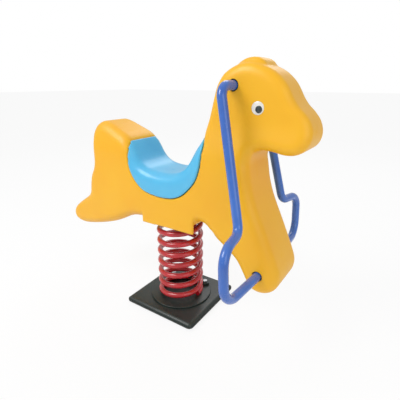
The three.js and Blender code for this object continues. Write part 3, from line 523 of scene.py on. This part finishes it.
@dataclass
class Horse:
    """The moulded horse with its saddle seat."""

    head_half_width: float = 66 * MM
    narrow_from: float = 192.0          # heights above the top plate, in millimetres
    narrow_to: float = 347.0
    edge_radius: float = 34 * MM
    forelock_half_width: float = 44 * MM
    forelock_edge: float = 12 * MM
    seat_proud: float = 2.6 * MM
    seat_groove: float = 2.4 * MM
    socket_radius: float = 16.4 * MM
    eye_radius: float = 17.8 * MM
    eye_depth: float = 1.8 * MM
    first_voxel: float = 5.5 * MM
    mass_voxel: float = 4.4 * MM
    mass_rounds: int = 3
    skin_voxel: float = 4.0 * MM
    skin_rounds: int = 4
    seat_voxel: float = 3.2 * MM
    seat_rounds: int = 7
    pocket_gap: float = 4 * MM
    pocket_front: float = 0.2
    pocket_roof: float = 0.3 * MM
    cheek_inset: float = 0.4 * MM

    def half_width_at(self, height: float) -> float:
        """Half width of the horse at a height above the top plate, in millimetres."""
        share = min(max((height - self.narrow_from) / (self.narrow_to - self.narrow_from), 0), 1)
        ease = share * share * (3 - 2 * share)
        return HALF_WIDTH + (self.head_half_width - HALF_WIDTH) * ease

    def rounded(self, name: str, outline: list[Pair], half_width: float, radius: float) -> bpy.types.Object:
        """Slab whose long edges are rounded by a circle of the given radius.

        Args:
            name: The piece's name.
            outline: Outline in millimetres.
            half_width: Half width of the slab.
            radius: Radius of its long edges.

        Returns:
            The rounded solid.
        """
        piece = slab(name, outline, half_width)
        remesh(piece, self.first_voxel, 0)
        rim = self._rim(outline)
        for vertex in piece.data.vertices:
            x, y, z = vertex.co
            inset = min(rim.find((x, 0, z))[2], radius)
            limit = half_width - radius + math.sqrt(radius**2 - (radius - inset) ** 2)
            vertex.co.y = math.copysign(min(abs(y), limit), y)
        return piece

    @staticmethod
    def _rim(outline: list[Pair]) -> KDTree:
        """Close-set points of an outline, for measuring how far inside it a vertex lies."""
        step = 2.0
        points = []
        for (x, z), (nx, nz) in zip(outline, outline[1:] + outline[:1]):
            count = max(1, round(math.hypot(nx - x, nz - z) / step))
            for k in range(count):
                t = k / count
                points.append(((x + (nx - x) * t) * MM, 0, RIDER_BASE + (z + (nz - z) * t) * MM))
        tree = KDTree(len(points))
        for i, point in enumerate(points):
            tree.insert(point, i)
        tree.balance()
        return tree

    def mass(self) -> bpy.types.Object:
        """The horse's rounded mass, narrowed towards the head."""
        upper = (HUMP, SADDLE_TOP, NECK_BACK, HEAD_TOP, MUZZLE)
        runs = (*upper, NECK_FRONT, FRONT_HOOF, CHEST, BELLY, REAR_HOOF, RUMP)
        outline = [point for run in runs for point in spline(run)]
        piece = self.rounded("horse_mass", outline, HALF_WIDTH, self.edge_radius)
        for vertex in piece.data.vertices:
            height = (vertex.co.z - RIDER_BASE) / MM
            vertex.co.y *= self.half_width_at(height) / HALF_WIDTH
        remesh(piece, self.mass_voxel, self.mass_rounds)
        return piece

    @staticmethod
    def seat_zone(name: str) -> bpy.types.Object:
        """Everything inside the seat's lower edge, up past the saddle."""
        return slab(name, spline(SEAT_EDGE) + [SEAT_EDGE[-1]] + SEAT_ROOF, 1.3 * HALF_WIDTH)

    def shell(self, mass: bpy.types.Object) -> bpy.types.Object:
        """Make the yellow moulding.

        Args:
            mass: The rounded mass, which is used up.

        Returns:
            The finished piece.
        """
        mass.name = "horse_moulding"
        cheek = slab("cheek", CHEEK, HALF_WIDTH - self.cheek_inset)
        combine(mass, cheek, "UNION")
        forelock = self.rounded("forelock", spline(FORELOCK), self.forelock_half_width, self.forelock_edge)
        combine(mass, forelock, "UNION")
        zone = self.seat_zone("seat_recess")
        modify(zone, "DISPLACE", strength=self.seat_groove, mid_level=0)
        combine(mass, zone, "DIFFERENCE")
        remesh(mass, self.skin_voxel, self.skin_rounds)
        self._cut_pocket(mass)
        for socket in (HEAD_SOCKET, LEG_SOCKET):
            combine(mass, cross_rod("socket", self.socket_radius, 2 * HALF_WIDTH, socket), "DIFFERENCE")
        for side in Side:
            low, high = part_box(f"eye_white_{side.label}")
            face = side.value * (self.head_half_width - self.eye_depth + HALF_WIDTH)
            x, z = (low[0] + high[0]) / 2 / MM, ((low[2] + high[2]) / 2 - RIDER_BASE) / MM
            combine(mass, cross_rod("eye_seat", self.eye_radius, HALF_WIDTH, (x, z), face), "DIFFERENCE")
        smooth_by_angle(mass, 40)
        return mass

    def _cut_pocket(self, mass: bpy.types.Object) -> None:
        """Cut the pocket for the spring's top out of the belly."""
        gap = self.pocket_gap
        low = Vector((TOP_PLATE_LOW[0] - gap, TOP_PLATE_LOW[1] - gap, BODY_LOW[2]))
        high = Vector((self.pocket_front, TOP_PLATE_HIGH[1] + gap, RIDER_BASE + self.pocket_roof))
        bpy.ops.object.select_all(action="DESELECT")
        bpy.ops.mesh.primitive_cube_add(size=1, location=(low + high) / 2, scale=high - low)
        combine(mass, fresh("pocket"), "DIFFERENCE")

    def seat(self, mass: bpy.types.Object) -> bpy.types.Object:
        """Make the saddle seat from a copy of the mass."""
        piece = copy_of(mass, "saddle_seat")
        modify(piece, "DISPLACE", strength=self.seat_proud, mid_level=0)
        combine(piece, self.seat_zone("seat_zone"), "INTERSECT")
        remesh(piece, self.seat_voxel, self.seat_rounds)
        return piece

    def build(self) -> None:
        """Build and dress the moulding and the seat."""
        mass = self.mass()
        deliver(self.seat(mass), BLUE_SEAT, "rider", "seat")
        deliver(self.shell(mass), YELLOW_SHELL, "rider", "body_shell")


# ---- Handles ----------------------------------------------------------------


@dataclass
class Handles:
    """The two bent pipes with the bushes round their ends."""

    radius: float = 13.4
    sides: int = 28
    corners: list[tuple[Place, float]] = field(default_factory=lambda: [
        ((238, 70, 427), 30), ((234, 124, 426), 34), ((321, 160, 52), 32), ((336, 270, 46), 48),
        ((343, 271, -105), 56), ((353, 108.5, -105), 30),
    ])
    start: Place = (238, 26, 427)
    end: Place = (353, 54, -105)
    bend_step: float = math.radians(6)

    def path(self, side: Side) -> list[Vector]:
        """Middle line of one pipe: straight runs and round bends, in metres."""
        stops = [self.start, *(at for at, _ in self.corners), self.end]
        points = [Vector((x, side.value * y, z)) for x, y, z in stops]
        line = [points[0]]
        for (_, bend), before, corner, after in zip(self.corners, points, points[1:], points[2:]):
            line += self._bend(before, corner, after, bend)
        line.append(points[-1])
        return [point * MM + Vector((0, 0, RIDER_BASE)) for point in line]

    def _bend(self, before: Vector, corner: Vector, after: Vector, radius: float) -> list[Vector]:
        """Points of one round bend.

        Args:
            before: The corner before this one.
            corner: Where the two straight runs would meet.
            after: The corner after this one.
            radius: The bend's radius.

        Returns:
            Points along the bend.
        """
        into, out = (corner - before).normalized(), (after - corner).normalized()
        angle = into.angle(out)
        reach = radius * math.tan(angle / 2)
        inward = (out - into * math.cos(angle)).normalized()
        centre = corner - into * reach + inward * radius
        count = max(2, math.ceil(angle / self.bend_step))
        turns = [angle * k / count for k in range(count + 1)]
        return [centre - inward * radius * math.cos(a) + into * radius * math.sin(a) for a in turns]

    def bush(self, node: str, name: str) -> bpy.types.Object:
        """Soft ring round a pipe's end, at the place of its node."""
        low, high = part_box(node)
        middle = (Vector(low) + Vector(high)) / 2
        outer = (high[2] - low[2]) / 2
        inner = (self.radius + 0.3) * MM
        bpy.ops.object.select_all(action="DESELECT")
        bpy.ops.mesh.primitive_torus_add(
            major_segments=64, minor_segments=16, major_radius=(outer + inner) / 2,
            minor_radius=(outer - inner) / 2, location=middle, rotation=(math.pi / 2, 0, 0),
        )
        piece = fresh(name)
        stretch = (high[1] - low[1]) / (outer - inner)
        for vertex in piece.data.vertices:
            vertex.co.y = middle.y + (vertex.co.y - middle.y) * stretch
        smooth_by_angle(piece, 60)
        return piece

    def build(self) -> None:
        """Build and dress both pipes and their bushes."""
        for side in Side:
            bar = pipe(f"bent_pipe_{side.label}", self.path(side), self.radius * MM, self.sides)
            deliver(bar, BLUE_PIPE, "rider", f"handle_{side.label}")
            for end in ("head", "leg"):
                ring = self.bush(f"{end}_bush_{side.label}", f"{end}_ring_{side.label}")
                # the bushes' dark maroon is partly painted shade for the shadow in the sockets
                deliver(ring, BUSH_RUBBER_AND_SHADE, "rider", f"{end}_bush_{side.label}")


# ---- Eyes -------------------------------------------------------------------


@dataclass
class Eyes:
    """Domed eye whites with dark pupils."""

    segments: int = 64

    def dome(self, node: str, name: str, side: Side) -> bpy.types.Object:
        """Round disc with a domed face, filling its node's box.

        Args:
            node: The node whose place and size it takes.
            name: The piece's name.
            side: The side it faces.

        Returns:
            The finished disc.
        """
        low, high = (Vector(corner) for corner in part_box(node))
        middle, size = (low + high) / 2, high - low
        bpy.ops.object.select_all(action="DESELECT")
        bpy.ops.mesh.primitive_uv_sphere_add(
            segments=self.segments, ring_count=32, radius=size.x / 2, location=middle,
            rotation=(math.pi / 2, 0, 0),
        )
        piece = fresh(name)
        back = low.y if side is Side.LEFT else high.y
        rim = 0.35 * size.y
        for vertex in piece.data.vertices:
            outward = (vertex.co.y - middle.y) * side.value / (size.x / 2)
            depth = rim + (size.y - rim) * outward if outward > 0 else rim + rim * max(outward * 4, -1)
            vertex.co.y = back + side.value * depth
        smooth_by_angle(piece, 50)
        return piece

    def build(self) -> None:
        """Build and dress both eyes."""
        for side in Side:
            for part, finish in (("white", EYE_WHITE), ("pupil", EYE_DARK)):
                node = f"eye_{part}_{side.label}"
                deliver(self.dome(node, f"{part}_of_eye_{side.label}", side), finish, "rider", node)


# ---- Base and spring --------------------------------------------------------


@dataclass
class Spring:
    """The coil spring, in two lengths split halfway along the wire."""

    wire: float = 10 * MM
    radius: float = 76 * MM
    gap: float = 21.7 * MM
    flat_turns: float = 0.45
    ramp_turns: float = 0.12
    steps: int = 56
    sides: int = 24

    def turns(self) -> float:
        """Number of turns over the spring's height."""
        low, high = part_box("spring")
        rise = high[2] - low[2] - 2 * self.wire
        return rise / (2 * self.wire + self.gap) + 2 * self.flat_turns + self.ramp_turns

    def _ramp(self, turns: float) -> float:
        """Zero before 0, then a slope that grows to one over the ramp."""
        if turns <= 0:
            return 0
        if turns < self.ramp_turns:
            return turns**2 / (2 * self.ramp_turns)
        return turns - self.ramp_turns / 2

    def climb(self, turns: float) -> float:
        """How far the wire has climbed after some turns, counted in full-pitch turns."""
        end = self.turns() - self.flat_turns - self.ramp_turns
        return self._ramp(turns - self.flat_turns) - self._ramp(turns - end)

    def point(self, turns: float) -> Vector:
        """Place of the wire's middle after some turns."""
        low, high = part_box("spring")
        rise = high[2] - low[2] - 2 * self.wire
        angle = 2 * math.pi * turns
        share = self.climb(turns) / self.climb(self.turns())
        x, y = self.radius * math.cos(angle), self.radius * math.sin(angle)
        return Vector((x, y, low[2] + self.wire + rise * share))

    def build(self) -> None:
        """Build and dress both lengths."""
        total = self.turns()
        count = round(total * self.steps)
        points = [self.point(total * k / count) for k in range(count + 1)]
        middle = count // 2
        low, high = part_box("spring")
        seam = points[middle].z
        clear = 2 * self.wire
        lower = pipe("spring_lower", points[:middle + 1], self.wire, self.sides)
        deliver(lower, RED_PAINT, "base", "spring")
        upper = pipe("spring_upper", points[middle:], self.wire, self.sides)
        deliver(upper, RED_PAINT, "rider", "spring")
        for piece, pair, start, end in (
            (lower, ("base", "spring"), low[2] + clear, seam - self.wire),
            (upper, ("spring", "rider"), seam + self.wire, high[2] - clear),
        ):
            piece.parent = None
            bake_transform(piece)


@dataclass
class Base:
    """Square base plate and the round disc on it."""

    corner: float = 16 * MM
    edge: float = 4 * MM
    disc_edge: float = 2 * MM

    def plate(self) -> bpy.types.Object:
        """Square plate with round corners and a softened upper edge."""
        low, high = (Vector(corner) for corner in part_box("base_plate"))
        bpy.ops.object.select_all(action="DESELECT")
        bpy.ops.mesh.primitive_cube_add(size=1, location=(low + high) / 2, scale=high - low)
        piece = fresh("square_plate")
        self._bevel(piece, lambda a, b: abs(a.z - b.z) > 1 * MM, self.corner, 8)
        self._bevel(piece, lambda a, b: min(a.z, b.z) > high.z - 0.1 * MM, self.edge, 4)
        smooth_by_angle(piece, 35)
        return piece

    def disc(self) -> bpy.types.Object:
        """Raised disc under the spring."""
        low, high = (Vector(corner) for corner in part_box("foot_disc"))
        bpy.ops.object.select_all(action="DESELECT")
        bpy.ops.mesh.primitive_cylinder_add(
            vertices=128, radius=(high.x - low.x) / 2, depth=high.z - low.z, location=(low + high) / 2,
        )
        piece = fresh("round_disc")
        self._bevel(piece, lambda a, b: min(a.z, b.z) > high.z - 0.1 * MM, self.disc_edge, 3)
        smooth_by_angle(piece, 35)
        return piece

    @staticmethod
    def _bevel(
        piece: bpy.types.Object, chosen: Callable[[Vector, Vector], bool], width: float, segments: int,
    ) -> None:
        """Round the edges that a test picks by their two ends.

        Args:
            piece: The mesh to work on.
            chosen: Test of an edge's two ends.
            width: Radius of the rounding.
            segments: Facets across it.
        """
        mesh = piece.data
        for element in (*mesh.vertices, *mesh.edges, *mesh.polygons):
            element.select = False
        for edge in mesh.edges:
            ends = [mesh.vertices[i] for i in edge.vertices]
            if chosen(ends[0].co, ends[1].co):
                edge.select = True
                for end in ends:
                    end.select = True
        take(piece)
        bpy.ops.object.mode_set(mode="EDIT")
        bpy.ops.mesh.select_mode(type="EDGE")
        bpy.ops.mesh.bevel(offset=width, segments=segments, profile=0.5, affect="EDGES")
        bpy.ops.object.mode_set(mode="OBJECT")

    def build(self) -> None:
        """Build and dress the plate and the disc."""
        deliver(self.plate(), BLACK_PAINT, "base", "base_plate")
        deliver(self.disc(), BLACK_PAINT, "base", "foot_disc")


def dress_nodes() -> None:
    """Give every node that still shows its slot's finish."""
    by_slot = {finish.slot: finish for finish in FINISHES}
    for entry in frame["record"]["subparts"]:
        node = frame["nodes"][entry["node"]]
        material = SHOP.material(by_slot[entry["material_slot"]])
        if node.material_slots:
            node.material_slots[0].material = material
        else:
            node.data.materials.append(material)


# ---- Studio -----------------------------------------------------------------


@dataclass
class Studio:
    """Pale floor, soft lamps and the camera."""

    eye: Place = (0.682, -0.886, 0.802)
    azimuth: float = 33.8
    elevation: float = 19.6
    lens: float = 29.73
    world_level: float = 0.62
    floor_glow: float = 0.88

    def camera(self) -> None:
        """Stand the camera at the viewing angle."""
        data = bpy.data.cameras.new("studio_camera")
        data.lens = self.lens
        data.sensor_width = 36
        data.clip_start = 0.01
        camera = bpy.data.objects.new("studio_camera", data)
        camera.location = self.eye
        camera.rotation_euler = (math.radians(90 - self.elevation), 0, math.radians(self.azimuth))
        bpy.context.collection.objects.link(camera)
        bpy.context.scene.camera = camera

    def floor(self) -> None:
        """Lay the pale floor."""
        bpy.ops.object.select_all(action="DESELECT")
        bpy.ops.mesh.primitive_plane_add(size=60, location=(0, 0, 0))
        floor = fresh("floor")
        material = bpy.data.materials.new("pale_floor")
        material.use_nodes = True
        nodes, links = material.node_tree.nodes, material.node_tree.links
        shader = nodes["Principled BSDF"]
        shader.inputs["Base Color"].default_value = (0.9, 0.9, 0.9, 1)
        shader.inputs["Roughness"].default_value = 0.9
        glow = nodes.new("ShaderNodeEmission")
        glow.inputs["Strength"].default_value = 1
        path = nodes.new("ShaderNodeLightPath")
        share = nodes.new("ShaderNodeMath")
        share.operation = "MULTIPLY"
        share.inputs[1].default_value = self.floor_glow
        links.new(path.outputs["Is Camera Ray"], share.inputs[0])
        mix = nodes.new("ShaderNodeMixShader")
        links.new(share.outputs["Value"], mix.inputs["Fac"])
        links.new(shader.outputs["BSDF"], mix.inputs[1])
        links.new(glow.outputs["Emission"], mix.inputs[2])
        links.new(mix.outputs["Shader"], nodes["Material Output"].inputs["Surface"])
        floor.data.materials.append(material)

    def world(self) -> None:
        """Light the room evenly, and show white to the camera."""
        world = bpy.data.worlds.new("studio_air")
        bpy.context.scene.world = world
        world.use_nodes = True
        nodes, links = world.node_tree.nodes, world.node_tree.links
        path = nodes.new("ShaderNodeLightPath")
        level = nodes.new("ShaderNodeMapRange")
        level.inputs["To Min"].default_value = self.world_level
        level.inputs["To Max"].default_value = 1
        links.new(path.outputs["Is Camera Ray"], level.inputs["Value"])
        links.new(level.outputs["Result"], nodes["Background"].inputs["Strength"])
        nodes["Background"].inputs["Color"].default_value = (1, 1, 1, 1)

    @staticmethod
    def lamp(name: str, place: Place, size: float, watts: float) -> None:
        """Hang one soft square lamp that looks at the horse.

        Args:
            name: The lamp's name.
            place: Where it hangs.
            size: Its side.
            watts: Its power.
        """
        data = bpy.data.lights.new(name, "AREA")
        data.size = size
        data.energy = watts
        lamp = bpy.data.objects.new(name, data)
        lamp.location = place
        lamp.rotation_euler = (Vector((0, 0, 0.45)) - Vector(place)).to_track_quat("-Z", "Y").to_euler()
        bpy.context.collection.objects.link(lamp)

    def build(self) -> None:
        """Set up the whole studio."""
        self.camera()
        self.floor()
        self.world()
        self.lamp("key_lamp", (-1.1, -1.7, 2.5), 1.3, 38)
        self.lamp("fill_lamp", (2.4, -1.2, 1.5), 1.8, 12)
        self.lamp("back_lamp", (-0.6, 2.2, 2.4), 1.6, 16)
        settings = bpy.context.scene.view_settings
        settings.view_transform = "Standard"


def main() -> None:
    """Build the looks and report each piece."""
    logging.basicConfig(level=logging.INFO, format="%(name)s %(message)s")
    for maker in (Studio(), Base(), Spring(), Horse(), Handles(), Eyes()):
        maker.build()
    dress_nodes()


if __name__ == "__main__":
    main()
